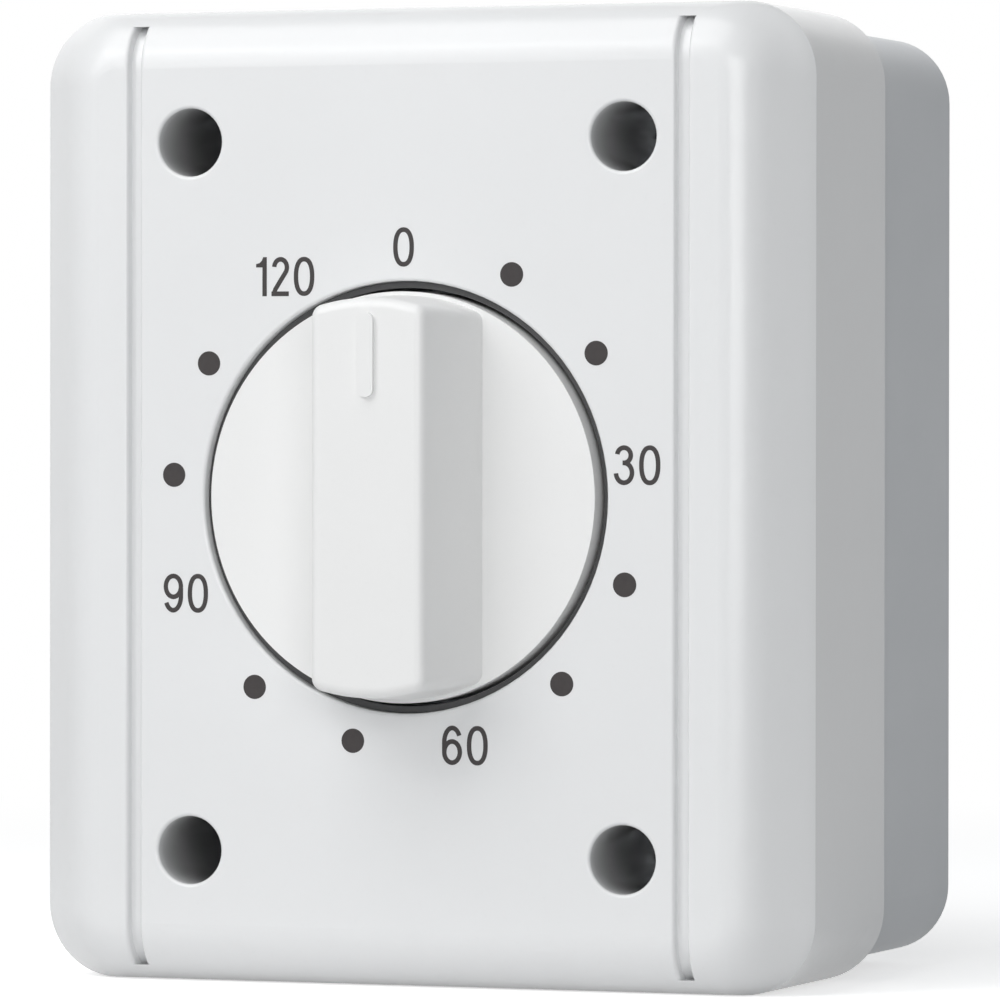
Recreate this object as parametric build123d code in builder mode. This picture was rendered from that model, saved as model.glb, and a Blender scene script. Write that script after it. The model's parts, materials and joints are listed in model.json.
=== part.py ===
from build123d import *
import os
from math import acos, cos, degrees, radians, sin, sqrt

# Surface-mounted timer switch with a two-hour dial.
# Millimetres. The wall is the plane Y = 0 and the object stands out of it towards -Y.
# A height in this file is a distance from the wall. +X is to the right and +Z is up.

os.makedirs("parts", exist_ok=True)

# Fits
shaft_clearance = 0.05     # radial, a turning shaft in its hole
screw_clearance = 0.2      # radial, a screw in a hole that it only passes
thread_clearance = 0.05    # radial, a screw in the hole that holds it
seat_gap = 0.2             # between moulded pieces that are drawn together
moving_gap = 0.3           # between a moving piece and a curved neighbour

# Front cover
cover_width = 66.2
cover_height = 78.8
cover_corner = 6.0         # corner radius of the outline
edge_round = 4.8           # rounding from the front face to the top and bottom walls
side_bend = 6.5            # from a side wall to where the face starts to fall away
side_slope = 1.03          # how steeply it falls, past the bend
face_corner = 1.2          # corner radius of the flat part of the face
edge_sections = 6          # sections that the rounding is drawn through
cover_depth = 22.6         # from the front face to the cover's back edge
face_height = 43.8         # the front face above the wall
face_wall = 2.4
cover_wall = 3.2
rebate_wall = 2.2          # the cover's wall where the box reaches into it
groove_inset = 9.6         # from the side wall to the middle of an upright groove
groove_width = 1.1
groove_depth = 0.9
groove_margin = 1.3        # from a groove's end to the top or bottom of the cover
groove_lip = 0.3           # rounded edges of the grooves
opening_radius = 17.3      # the hole for the knob
opening_lip = 0.3          # rounded edge of the openings in the face
collar_wall = 1.5
collar_depth = 7.8         # the collar behind the opening, from the front face
seal_ledge = 0.55          # how far the collar's ledge reaches in under the seal

# Screw wells
well_inset_x = 14.5        # from the side wall to the middle of a well
well_inset_z = 10.8        # from the top or bottom wall
well_radius = 2.75
well_wall = 1.3
well_floor = 2.0
cover_screw_radius = 1.5
cover_screw_head_radius = 2.5
cover_screw_head_height = 1.8
cover_screw_length = 14.0
driver_slot_width = 0.7
driver_slot_depth = 0.9

# Rear box
box_inset = 1.1            # the box is this much smaller than the cover all round
box_corner = 5.5
box_wall = 2.2
box_floor = 2.2
joint_line = 0.25          # shadow line between box and cover
lip_wall = 0.9             # the lip that reaches into the cover
lip_height = 2.5
gasket_thickness = 1.0
post_radius = 3.4          # posts that carry the support plate
wall_slot_inset_x = 5.2    # from the box's inner wall to the middle of a slot
wall_slot_inset_z = 13.5
wall_slot_width = 4.4
wall_slot_length = 7.0

# Cable entries
entry_height = 11.5
grommet_bore = 4.0
grommet_neck = 7.6
grommet_flange = 8.6
grommet_outer_lip = 0.9
grommet_inner_lip = 1.0
grommet_taper_length = 2.0
grommet_tip_wall = 0.6

# Knob
knob_radius = 16.45
knob_proud = 0.5           # the disc stands this far out of the front face
grip_height = 7.5          # from the disc to the front of the grip
grip_half_width = 4.65     # at the front
grip_half_base = 6.95      # where the grip meets the disc
grip_end_draft = 2.7       # degrees
grip_corner = 1.0          # rounding of the grip's four upright corners
grip_edge = 0.85           # rounding round the front of the grip
disc_thickness = 2.2
skirt_wall = 1.6
skirt_depth = 7.8          # from the disc's front to the back edge of the skirt
hub_radius = 5.0
hub_length = 10.8          # from the disc's front to the hub's end
pointer_width = 1.3        # the raised line on the grip
pointer_rise = 0.35
pointer_low_end = 7.95     # from the knob's centre to the line's lower end
pointer_high_end = 14.7    # and to its upper end
clip_thickness = 0.6
clip_width = 1.6
seal_width = 0.5
seal_depth = 1.0           # the seal's front face behind the front face

# Spindle
spindle_radius = 2.8
spindle_tail_radius = 2.0
spindle_flat = 1.9         # from the axis to the flat
spindle_tip = 2.4          # the spindle ends this far in front of the disc's back
collar_radius = 3.7        # the spindle's collar behind the great wheel
collar_width = 0.5

# Support plate and its screws
support_margin = 1.3       # from the plate's edge to the box's inner wall
support_edge = 3.3         # from the plate's edge to the middle of its screw
support_thickness = 1.2
plate_screw_head_radius = 2.6
plate_screw_head_height = 1.7
plate_screw_length = 11.0

# Clockwork frame
frame_margin = 2.8         # from the clockwork's plates to the posts beside them
frame_height = 41.0
plate_thickness = 1.0
frame_back = 16.8          # back face of the rear plate
frame_room = 12.2          # between the two plates
pillar_inset = 2.5         # from the plates' edges to a pillar's axis
pillar_radius = 1.6
pillar_screw_radius = 1.0
pillar_screw_head_radius = 1.9
pillar_screw_head_height = 1.1
pillar_screw_depth = 3.0

# Mainspring
spring_strip = 0.4
spring_width = 3.2
spring_half_turns = 11
spring_pitch = 1.1         # between one coil and the next
spring_floor = 0.6         # from the rear plate to the spring
spring_post_radius = 0.9

# Gear train. A wheel of one shaft drives the pinion of the next.
great_teeth = 50
great_module = 0.4
second_teeth = 48
second_module = 0.35
third_teeth = 40
third_module = 0.3
second_leaves = 10
third_leaves = 8
escape_leaves = 8
second_direction = 75.0    # degrees, from one shaft towards the next
third_direction = 190.0
escape_direction = 215.0
pallet_direction = 265.0
wheel_thickness = 0.6
great_thickness = 0.8
layer_pitch = 1.5          # from one wheel up to the next
crossing_ring = 0.55       # circle of a wheel's round holes, as a share of its pitch radius
crossing_hole = 0.22       # radius of one of them, the same way
crossing_count = 4
pinion_overhang = 0.3      # the pinion is this much longer than its wheel at each side
arbor_radius = 0.6
pivot_radius = 0.4
pivot_end = 0.1            # a pivot stops this far inside its plate's outer face

# Slip clutch, a star washer that presses the great wheel against the collar
washer_radius = 6.2
washer_strip = 0.25
washer_rise = 0.7
washer_rim = 0.8
washer_notch = 1.9
washer_notches = 4
snap_ring_radius = 4.2
snap_ring_thickness = 0.5

# Escapement
escape_teeth = 16
escape_radius = 4.2
escape_root_radius = 3.2
escape_thickness = 0.5
pin_radius = 0.25
pin_clearance = 0.06
pin_half_pitches = 3       # the pins stand this many half tooth pitches to each side
tooth_back = 0.45          # from a tooth's middle to the foot of its back, in pitches
tooth_front = 0.15         # to the foot of its front
tooth_tip = 0.06           # half the width of its tip
lever_thickness = 0.6
lever_gap = 0.4
bar_length = 9.0
bar_width = 1.8

# Cam and contacts
cam_radius = 7.0
cam_thickness = 2.5
cam_height = 11.3
notch_depth = 1.1
notch_half_width = 2.6
leaf_thickness = 0.3
leaf_width = 3.6
leaf_x = 8.6
leaf_end = 9.5             # free end of the contact leaf
nose_reach = 2.0
nose_half_width = 2.2
contact_z = 7.6
contact_radius = 1.3
contact_height = 0.6
contact_gap = 1.0

# Switch base
base_margin = 0.5          # the tray is this much shorter than the plates at each end
base_back = 4.0
base_floor = 1.6
base_wall = 1.5
shelf_width = 27.6
shelf_length = 61.0
shelf_wall = 1.2
shelf_wall_height = 7.4
rivet_inset = 3.5          # from the tray's end to a rivet
rivet_radius = 1.2
rivet_head_radius = 2.1
rivet_head_height = 0.6
rivet_boss_radius = 2.2

# Terminals
terminal_x = 9.2
terminal_width = 6.4
terminal_length = 8.0
terminal_height = 6.5
terminal_hole = 1.5
terminal_floor = 0.6       # metal under the wire hole
terminal_gap = 0.2         # between a block and the tray's end wall
terminal_screw_radius = 1.4
terminal_screw_head_radius = 2.2
terminal_screw_head_height = 1.5
link_thickness = 0.8
link_width = 3.0
strip_clearance = 0.2      # round a strip where it passes a wall

# Heights that follow from the sizes above
cover_back = face_height - cover_depth
box_rim = cover_back - joint_line
lip_top = box_rim + lip_height
gasket_top = lip_top + gasket_thickness
disc_front = face_height + knob_proud
disc_back = disc_front - disc_thickness
grip_front = disc_front + grip_height
skirt_back = disc_front - skirt_depth
hub_back = disc_front - hub_length
frame_inside = frame_back + plate_thickness
frame_top = frame_inside + frame_room
support_back = frame_top + plate_thickness
support_front = support_back + support_thickness
well_back = gasket_top - seat_gap
boss_top = well_back - seat_gap
screw_seat = well_back + well_floor
spring_low = frame_inside + spring_floor
spring_top = spring_low + spring_width
great_height = spring_top + moving_gap + collar_width
clutch_top = great_height + great_thickness + washer_rise + snap_ring_thickness
second_height = clutch_top + collar_width
third_height = second_height + layer_pitch
escape_height = third_height + layer_pitch
lever_height = escape_height + escape_thickness + lever_gap
base_inside = base_back + base_floor
terminal_top = base_inside + terminal_height
leaf_height = cam_height - (leaf_width - cam_thickness) / 2
spindle_end = disc_back + spindle_tip

# Sides and places that follow
box_width = cover_width - 2 * box_inset
box_height = cover_height - 2 * box_inset
box_bore_width = box_width - 2 * box_wall
box_bore_height = box_height - 2 * box_wall
box_bore_corner = box_corner - box_wall
groove_x = cover_width / 2 - groove_inset
well_spacing_x = cover_width - 2 * well_inset_x
well_spacing_z = cover_height - 2 * well_inset_z
well_tube = well_radius + well_wall
wall_slot_spacing_x = box_bore_width - 2 * wall_slot_inset_x
wall_slot_spacing_z = box_bore_height - 2 * wall_slot_inset_z
support_width = box_bore_width - 2 * support_margin
support_height = frame_height
post_x = support_width / 2 - support_edge
frame_width = 2 * (post_x - post_radius - frame_margin)
pillar_spacing_x = frame_width - 2 * pillar_inset
pillar_spacing_z = frame_height - 2 * pillar_inset
base_width = frame_width
base_height = frame_height - 2 * base_margin
rivet_z = base_height / 2 - rivet_inset
strip_end = base_height / 2 + terminal_gap


def at(height):
    """The plane at a height above the wall, seen from the front: X to the right, Z up."""
    return Plane(origin=(0, -height, 0), x_dir=(1, 0, 0), z_dir=(0, -1, 0))


def beside(x):
    """The upright plane at x, seen from the left: Z to the right, height above the wall up."""
    return Plane(origin=(x, 0, 0), x_dir=(0, 0, 1), z_dir=(1, 0, 0))


def rod(x, z, radius, low, high, mode=Mode.ADD):
    """A round bar or hole square to the wall, from one height to another."""
    with BuildSketch(at(low)) as outline:
        with Locations((x, z)):
            Circle(radius)
    extrude(outline.sketch, amount=high - low, mode=mode)


def slab(width, height, corner, low, high, mode=Mode.ADD):
    """A block or hollow with rounded corners, centred on the knob's axis."""
    with BuildSketch(at(low)) as outline:
        RectangleRounded(width, height, corner)
    extrude(outline.sketch, amount=high - low, mode=mode)


def bar(x, z, width, length, low, high, mode=Mode.ADD):
    """A square-cornered block or hollow, width along X and length along Z."""
    with BuildSketch(at(low)) as outline:
        with Locations((x, z)):
            Rectangle(width, length)
    extrude(outline.sketch, amount=high - low, mode=mode)


def write(piece, name):
    """Label a finished piece and write its file."""
    piece.part.label = name
    export_step(piece.part, f"parts/{name}.step")


# Gear train layout

def step_from(point, distance, direction):
    """The shaft at a distance and direction from another one."""
    angle = radians(direction)
    return (point[0] + distance * cos(angle), point[1] + distance * sin(angle))


spindle_axis = (0.0, 0.0)
second_distance = great_module * (great_teeth + second_leaves) / 2
second_axis = step_from(spindle_axis, second_distance, second_direction)
third_distance = second_module * (second_teeth + third_leaves) / 2
third_axis = step_from(second_axis, third_distance, third_direction)
escape_distance = third_module * (third_teeth + escape_leaves) / 2
escape_axis = step_from(third_axis, escape_distance, escape_direction)
pin_circle = escape_radius + pin_clearance + pin_radius
pin_angle = pin_half_pitches * 180 / escape_teeth
pallet_distance = pin_circle / cos(radians(pin_angle))
pallet_axis = step_from(escape_axis, pallet_distance, pallet_direction)

arbor_axes = [second_axis, third_axis, escape_axis, pallet_axis]


def around(centre, radius, angle):
    """A point on a circle, by its angle in degrees."""
    return (centre[0] + radius * cos(radians(angle)), centre[1] + radius * sin(radians(angle)))


def toothed(centre, teeth, first, steps):
    """A closed outline of equal teeth. Each step is a radius and the tooth's width there,
    going up one flank, and the same steps are mirrored down the other flank."""
    points = []
    for tooth in range(teeth):
        middle = first + 360 * tooth / teeth
        for radius, width in steps:
            points.append(around(centre, radius, middle - degrees(width / 2 / radius)))
        for radius, width in reversed(steps):
            points.append(around(centre, radius, middle + degrees(width / 2 / radius)))
    Polygon(*points, align=None)


def wheel_outline(centre, teeth, module, first):
    """A clock wheel: radial flanks up to the pitch circle, then a pointed arch."""
    pitch_radius = module * teeth / 2
    toothed(centre, teeth, first, [
        (pitch_radius - 1.3 * module, 1.4 * module),
        (pitch_radius, 1.45 * module),
        (pitch_radius + 0.6 * module, 1.1 * module),
        (pitch_radius + 1.1 * module, 0.35 * module),
    ])


def pinion_outline(centre, leaves, module, first):
    """A clock pinion: thin leaves with radial flanks and a blunt round top."""
    pitch_radius = module * leaves / 2
    root_radius = pitch_radius - 1.5 * module
    toothed(centre, leaves, first, [
        (root_radius, 1.0 * module * root_radius / pitch_radius),
        (pitch_radius, 1.0 * module),
        (pitch_radius + 0.45 * module, 0.55 * module),
    ])


# Front cover

def face_half_width(depth):
    """Half the cover's width at a depth behind the face: a soft bend, then a steady slope that
    meets the side wall in a crisp edge."""
    bend_length = 2 * (side_bend - edge_round / side_slope)
    bend_depth = side_slope * bend_length / 2
    if depth > bend_depth:
        return cover_width / 2 - (edge_round - depth) / side_slope
    return cover_width / 2 - side_bend + bend_length * sqrt(depth / bend_depth)


with BuildPart() as front_cover:
    for section in range(edge_sections + 1):
        turn = radians(90 * section / edge_sections)
        depth = edge_round * (1 - sin(turn))
        fall = edge_round * (1 - cos(turn))
        with BuildSketch(at(face_height - depth)):
            RectangleRounded(2 * face_half_width(depth), cover_height - 2 * fall,
                             max(cover_corner - fall, face_corner))
    loft()
    extrude(front_cover.faces().sort_by(Axis.Y)[-1], amount=cover_depth - edge_round)

    # Hollow, and the wider rebate that takes the box's lip
    slab(cover_width - 2 * cover_wall, cover_height - 2 * cover_wall, cover_corner - cover_wall,
         cover_back, face_height - face_wall, Mode.SUBTRACT)
    slab(cover_width - 2 * rebate_wall, cover_height - 2 * rebate_wall, cover_corner - rebate_wall,
         cover_back, gasket_top, Mode.SUBTRACT)

    # Collar behind the knob opening, with the ledge under the seal
    rod(0, 0, opening_radius + collar_wall, face_height - collar_depth, face_height - face_wall)
    rod(0, 0, opening_radius - seal_ledge, face_height - collar_depth, face_height, Mode.SUBTRACT)
    ledge_height = face_height - collar_depth / 2
    rod(0, 0, opening_radius, ledge_height, face_height, Mode.SUBTRACT)

    # Screw wells
    with BuildSketch(at(well_back)):
        with GridLocations(well_spacing_x, well_spacing_z, 2, 2):
            Circle(well_tube)
    extrude(amount=face_height - face_wall - well_back)
    with BuildSketch(at(screw_seat)):
        with GridLocations(well_spacing_x, well_spacing_z, 2, 2):
            Circle(well_radius)
    extrude(amount=face_height - screw_seat, mode=Mode.SUBTRACT)
    with BuildSketch(at(well_back)):
        with GridLocations(well_spacing_x, well_spacing_z, 2, 2):
            Circle(cover_screw_radius + screw_clearance)
    extrude(amount=well_floor, mode=Mode.SUBTRACT)

    # Rounded edges of the openings in the face
    face_edges = front_cover.faces().sort_by(Axis.Y)[0].edges()
    fillet(face_edges.filter_by(GeomType.CIRCLE), radius=opening_lip)

    # Upright grooves that follow the rounding at the top and the bottom
    straight_half = cover_height / 2 - edge_round
    groove_end = cover_height / 2 - groove_margin
    floor_radius = edge_round - groove_depth
    floor_turn = degrees(acos((groove_end - straight_half) / floor_radius))
    floor_drop = floor_radius * sin(radians(floor_turn))
    round_centre = face_height - edge_round
    for groove_centre in (-groove_x, groove_x):
        with BuildSketch(beside(groove_centre - groove_width / 2)):
            with BuildLine():
                Line((-straight_half, face_height - groove_depth),
                     (straight_half, face_height - groove_depth))
                CenterArc((straight_half, round_centre), floor_radius, 90, floor_turn - 90)
                Polyline((groove_end, round_centre + floor_drop),
                         (groove_end, face_height + groove_depth),
                         (-groove_end, face_height + groove_depth),
                         (-groove_end, round_centre + floor_drop))
                CenterArc((-straight_half, round_centre), floor_radius,
                          180 - floor_turn, floor_turn - 90)
            make_face()
        extrude(amount=groove_width, mode=Mode.SUBTRACT)

    # Soft lips along the grooves
    lips = []
    for edge in front_cover.edges().filter_by(lambda edge: edge.bounding_box().size.X < groove_lip / 10):
        beside_groove = abs(abs(edge.center().X) - groove_x) < groove_width
        on_face = edge.geom_type == GeomType.LINE and edge.center().Y < -face_height + groove_lip
        if beside_groove and (on_face or edge.geom_type == GeomType.BSPLINE):
            lips.append(edge)
    fillet(lips, radius=groove_lip)

write(front_cover, "front_cover")


# Rear box

with BuildPart() as rear_box:
    slab(box_width, box_height, box_corner, 0, box_rim)
    slab(box_bore_width + 2 * lip_wall, box_bore_height + 2 * lip_wall,
         box_bore_corner + lip_wall, box_rim, lip_top)
    slab(box_bore_width, box_bore_height, box_bore_corner, box_floor, lip_top, Mode.SUBTRACT)

    # Bosses for the cover screws
    with BuildSketch(at(box_floor)):
        with GridLocations(well_spacing_x, well_spacing_z, 2, 2):
            Circle(well_tube)
    extrude(amount=boss_top - box_floor)
    with BuildSketch(at(box_floor)):
        with GridLocations(well_spacing_x, well_spacing_z, 2, 2):
            Circle(cover_screw_radius + thread_clearance)
    extrude(amount=boss_top - box_floor, mode=Mode.SUBTRACT)

    # Posts for the support plate
    with BuildSketch(at(box_floor)):
        with Locations((-post_x, 0), (post_x, 0)):
            Circle(post_radius)
    extrude(amount=support_back - box_floor)
    with BuildSketch(at(support_back - plate_screw_length)):
        with Locations((-post_x, 0), (post_x, 0)):
            Circle(cover_screw_radius + thread_clearance)
    extrude(amount=plate_screw_length, mode=Mode.SUBTRACT)

    # Slots for the wall screws
    with BuildSketch(at(0)):
        with GridLocations(wall_slot_spacing_x, wall_slot_spacing_z, 2, 2):
            SlotOverall(wall_slot_length, wall_slot_width)
    extrude(amount=box_floor, mode=Mode.SUBTRACT)

    # Cable entries through the top and bottom walls
    with BuildSketch(Plane.XY.offset(-box_height / 2)):
        with Locations((0, -entry_height)):
            Circle(grommet_neck + seat_gap / 2)
    extrude(amount=box_height, mode=Mode.SUBTRACT)

write(rear_box, "rear_box")


# Gasket between the box's lip and the cover

with BuildPart() as cover_gasket:
    slab(box_bore_width + 2 * lip_wall, box_bore_height + 2 * lip_wall,
         box_bore_corner + lip_wall, lip_top, gasket_top)
    slab(box_bore_width + seat_gap, box_bore_height + seat_gap, box_bore_corner,
         lip_top, gasket_top, Mode.SUBTRACT)

write(cover_gasket, "cover_gasket")


# Cable grommets

def grommet(side):
    """A turned rubber grommet in the box's wall. The side is 1 at the top and -1 at the bottom."""
    outside = side * (box_height / 2 + grommet_outer_lip)
    wall_outside = side * box_height / 2
    wall_inside = side * (box_height / 2 - box_wall)
    inside = wall_inside - side * grommet_inner_lip
    tip = inside - side * grommet_taper_length
    with BuildPart() as body:
        with BuildSketch(at(entry_height)):
            with BuildLine():
                Polyline((grommet_bore, outside), (grommet_flange, outside),
                         (grommet_flange, wall_outside), (grommet_neck, wall_outside),
                         (grommet_neck, wall_inside), (grommet_flange, wall_inside),
                         (grommet_flange, inside), (grommet_neck, inside),
                         (grommet_bore + grommet_tip_wall, tip), (grommet_bore, tip), close=True)
            make_face()
        revolve(axis=Axis((0, -entry_height, 0), (0, 0, 1)))
    return body


top_grommet = grommet(1)
write(top_grommet, "top_grommet")

bottom_grommet = grommet(-1)
write(bottom_grommet, "bottom_grommet")


# Cover screws

with BuildPart() as cover_screws:
    with BuildSketch(at(screw_seat - cover_screw_length)):
        with GridLocations(well_spacing_x, well_spacing_z, 2, 2):
            Circle(cover_screw_radius)
    extrude(amount=cover_screw_length)
    with BuildSketch(at(screw_seat)):
        with GridLocations(well_spacing_x, well_spacing_z, 2, 2):
            Circle(cover_screw_head_radius)
    extrude(amount=cover_screw_head_height)
    with BuildSketch(at(screw_seat + cover_screw_head_height - driver_slot_depth)):
        with GridLocations(well_spacing_x, well_spacing_z, 2, 2):
            Rectangle(2 * cover_screw_head_radius, driver_slot_width)
    extrude(amount=driver_slot_depth, mode=Mode.SUBTRACT)

write(cover_screws, "cover_screws")


# Knob

def grip_section(wall):
    """The grip's section across the knob, smaller by a wall all round for its hollow."""
    lean = (grip_half_base - grip_half_width) / grip_height
    high = grip_front - wall
    low_half = grip_half_base - wall + lean * (disc_front - disc_back)
    high_half = grip_half_width - wall + lean * wall
    Polygon((-low_half, -disc_back), (low_half, -disc_back), (high_half, -high),
            (-high_half, -high), align=None)


with BuildPart() as knob:
    with BuildSketch(Plane.XY):
        grip_section(0)
    extrude(amount=knob_radius, both=True)
    with BuildSketch(at(disc_front)):
        Circle(knob_radius - opening_lip)
    extrude(amount=grip_height, taper=grip_end_draft, mode=Mode.INTERSECT)
    upright = knob.edges().filter_by(lambda edge: edge.bounding_box().size.Y > grip_height / 2)
    fillet(upright, radius=grip_corner)
    grip_face = knob.faces().sort_by(Axis.Y)[0]
    fillet(grip_face.edges(), radius=grip_edge)

    # Raised pointer line
    with BuildSketch(at(grip_front - grip_edge)):
        with Locations((0, (pointer_low_end + pointer_high_end) / 2)):
            SlotOverall(pointer_high_end - pointer_low_end, pointer_width, rotation=90)
    extrude(amount=grip_edge + pointer_rise)

    # Disc and skirt
    rod(0, 0, knob_radius, skirt_back, disc_front)
    rim = knob.edges().filter_by(GeomType.CIRCLE).group_by(SortBy.RADIUS)[-1].sort_by(Axis.Y)
    chamfer(rim[-1], length=opening_lip)
    rod(0, 0, knob_radius - skirt_wall, skirt_back, disc_back, Mode.SUBTRACT)

    # The grip is hollow from behind, between the skirt and the hub
    with BuildSketch(Plane.XY):
        grip_section(skirt_wall)
    extrude(amount=knob_radius - 2 * skirt_wall, both=True, mode=Mode.SUBTRACT)
    rod(0, 0, hub_radius, hub_back, disc_front + grip_height / 2)
    with BuildSketch(at(hub_back)) as spindle_bore:
        Circle(spindle_radius + thread_clearance)
        with Locations((0, -spindle_flat - thread_clearance)):
            Rectangle(2 * hub_radius, 2 * hub_radius, align=(Align.CENTER, Align.MAX),
                      mode=Mode.SUBTRACT)
    extrude(amount=spindle_end + thread_clearance - hub_back, mode=Mode.SUBTRACT)

write(knob, "knob")


# Spring band round the knob's hub, open at the top

with BuildPart() as knob_clip:
    clip_back = hub_back + clip_thickness
    rod(0, 0, hub_radius + clip_thickness, clip_back, clip_back + clip_width)
    rod(0, 0, hub_radius, clip_back, clip_back + clip_width, Mode.SUBTRACT)
    bar(0, hub_radius, clip_width, 2 * clip_width, clip_back, clip_back + clip_width, Mode.SUBTRACT)

write(knob_clip, "knob_clip")


# Seal in the gap round the knob

with BuildPart() as knob_seal:
    seal_outer = opening_radius - shaft_clearance
    rod(0, 0, seal_outer, ledge_height, face_height - seal_depth)
    rod(0, 0, seal_outer - seal_width, ledge_height, face_height - seal_depth, Mode.SUBTRACT)

write(knob_seal, "knob_seal")


# Main spindle: a flat for the knob, a collar for the great wheel and a thin tail for the cam

with BuildPart() as main_spindle:
    with BuildSketch(at(support_front + support_thickness)):
        Circle(spindle_radius)
        with Locations((0, -spindle_flat)):
            Rectangle(2 * spindle_radius, spindle_radius, align=(Align.CENTER, Align.MAX),
                      mode=Mode.SUBTRACT)
    extrude(amount=spindle_end - support_front - support_thickness)
    rod(0, 0, spindle_radius, frame_inside + pivot_end, support_front + support_thickness)
    rod(0, 0, collar_radius, great_height - collar_width, great_height)
    rod(0, 0, spindle_tail_radius, base_inside + seat_gap, frame_inside + pivot_end)
    chamfer(main_spindle.faces().sort_by(Axis.Y)[-1].edges(), length=pivot_radius)

write(main_spindle, "main_spindle")


# Snap ring on the spindle's tail, behind the rear plate

with BuildPart() as spindle_clip:
    ring_top = frame_back - pivot_end
    rod(0, 0, 2 * spindle_tail_radius, ring_top - clip_thickness, ring_top)
    rod(0, 0, spindle_tail_radius, ring_top - clip_thickness, ring_top, Mode.SUBTRACT)
    bar(0, -spindle_tail_radius, clip_width, 2 * spindle_tail_radius + clip_thickness,
        ring_top - clip_thickness, ring_top, Mode.SUBTRACT)

write(spindle_clip, "spindle_clip")


# Support plate

with BuildPart() as support_plate:
    slab(support_width, support_height, 2 * support_thickness, support_back, support_front)
    rod(0, 0, spindle_radius + 2 * moving_gap, support_back, support_front, Mode.SUBTRACT)
    with BuildSketch(at(support_back)):
        with Locations((-post_x, 0), (post_x, 0)):
            Circle(cover_screw_radius + screw_clearance)
        with GridLocations(pillar_spacing_x, pillar_spacing_z, 2, 2):
            Circle(pillar_screw_radius + screw_clearance)
    extrude(amount=support_thickness, mode=Mode.SUBTRACT)

write(support_plate, "support_plate")


with BuildPart() as plate_screws:
    with BuildSketch(at(support_front - plate_screw_length)):
        with Locations((-post_x, 0), (post_x, 0)):
            Circle(cover_screw_radius)
    extrude(amount=plate_screw_length)
    with BuildSketch(at(support_front)):
        with Locations((-post_x, 0), (post_x, 0)):
            Circle(plate_screw_head_radius)
    extrude(amount=plate_screw_head_height)
    with BuildSketch(at(support_front + plate_screw_head_height - driver_slot_depth)):
        with Locations((-post_x, 0), (post_x, 0)):
            Rectangle(2 * plate_screw_head_radius, driver_slot_width)
    extrude(amount=driver_slot_depth, mode=Mode.SUBTRACT)

write(plate_screws, "plate_screws")


# Clockwork plates, pierced for the pivots, the spindle and the rivets

def clock_plate(low, spindle_hole):
    """One of the two plates that the train runs between."""
    with BuildPart() as plate:
        slab(frame_width, frame_height, 2 * plate_thickness, low, low + plate_thickness)
        with BuildSketch(at(low)):
            Circle(spindle_hole + shaft_clearance)
            with Locations(*arbor_axes):
                Circle(pivot_radius + shaft_clearance)
            with GridLocations(pillar_spacing_x, pillar_spacing_z, 2, 2):
                Circle(pillar_screw_radius + thread_clearance)
            with Locations((0, rivet_z), (0, -rivet_z)):
                Circle(rivet_radius + thread_clearance)
        extrude(amount=plate_thickness, mode=Mode.SUBTRACT)
    return plate


rear_plate = clock_plate(frame_back, spindle_tail_radius)
write(rear_plate, "rear_plate")

front_plate = clock_plate(frame_top, spindle_radius)
write(front_plate, "front_plate")


with BuildPart() as pillars:
    with BuildSketch(at(frame_inside)):
        with GridLocations(pillar_spacing_x, pillar_spacing_z, 2, 2):
            Circle(pillar_radius)
    extrude(amount=frame_room)
    with BuildSketch(at(frame_back + pivot_end)):
        with GridLocations(pillar_spacing_x, pillar_spacing_z, 2, 2):
            Circle(pillar_screw_radius)
    extrude(amount=plate_thickness - pivot_end)
    with BuildSketch(at(frame_top - pillar_screw_depth)):
        with GridLocations(pillar_spacing_x, pillar_spacing_z, 2, 2):
            Circle(pillar_screw_radius + thread_clearance)
    extrude(amount=pillar_screw_depth, mode=Mode.SUBTRACT)

write(pillars, "pillars")


with BuildPart() as pillar_screws:
    with BuildSketch(at(frame_top - pillar_screw_depth + seat_gap)):
        with GridLocations(pillar_spacing_x, pillar_spacing_z, 2, 2):
            Circle(pillar_screw_radius)
    extrude(amount=support_front - frame_top + pillar_screw_depth - seat_gap)
    with BuildSketch(at(support_front)):
        with GridLocations(pillar_spacing_x, pillar_spacing_z, 2, 2):
            Circle(pillar_screw_head_radius)
    extrude(amount=pillar_screw_head_height)

write(pillar_screws, "pillar_screws")


# Mainspring: half circles that grow by half a pitch each, in one strip

spring_start = spindle_radius + moving_gap + spring_strip / 2
spring_step = spring_pitch / 2


def spring_side(offset):
    """One face of the strip, as half circles about two centres in turn."""
    for turn in range(spring_half_turns):
        middle = spring_step if turn % 2 else 0
        CenterArc((middle, 0), spring_start + turn * spring_step + offset, 180 * (turn % 2), 180)


spring_last = spring_start + (spring_half_turns - 1) * spring_step
spring_side_sign = 1 if spring_half_turns % 2 == 0 else -1
spring_tail = spring_step * ((spring_half_turns - 1) % 2) + spring_side_sign * spring_last

with BuildPart() as mainspring:
    with BuildSketch(at(spring_low)):
        with BuildLine():
            spring_side(-spring_strip / 2)
            spring_side(spring_strip / 2)
            Line((spring_start - spring_strip / 2, 0), (spring_start + spring_strip / 2, 0))
            Line((spring_tail - spring_strip / 2, 0), (spring_tail + spring_strip / 2, 0))
        make_face()
    extrude(amount=spring_width)

write(mainspring, "mainspring")


post_distance = spring_strip / 2 + spring_post_radius + thread_clearance

with BuildPart() as spring_post:
    rod(spring_tail + spring_side_sign * post_distance, 0, spring_post_radius, frame_inside,
        great_height - 2 * moving_gap)

write(spring_post, "spring_post")


# Wheels

with BuildPart() as great_wheel:
    with BuildSketch(at(great_height)):
        wheel_outline(spindle_axis, great_teeth, great_module, second_direction)
        Circle(spindle_radius + shaft_clearance, mode=Mode.SUBTRACT)
    extrude(amount=great_thickness)

write(great_wheel, "great_wheel")


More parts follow.
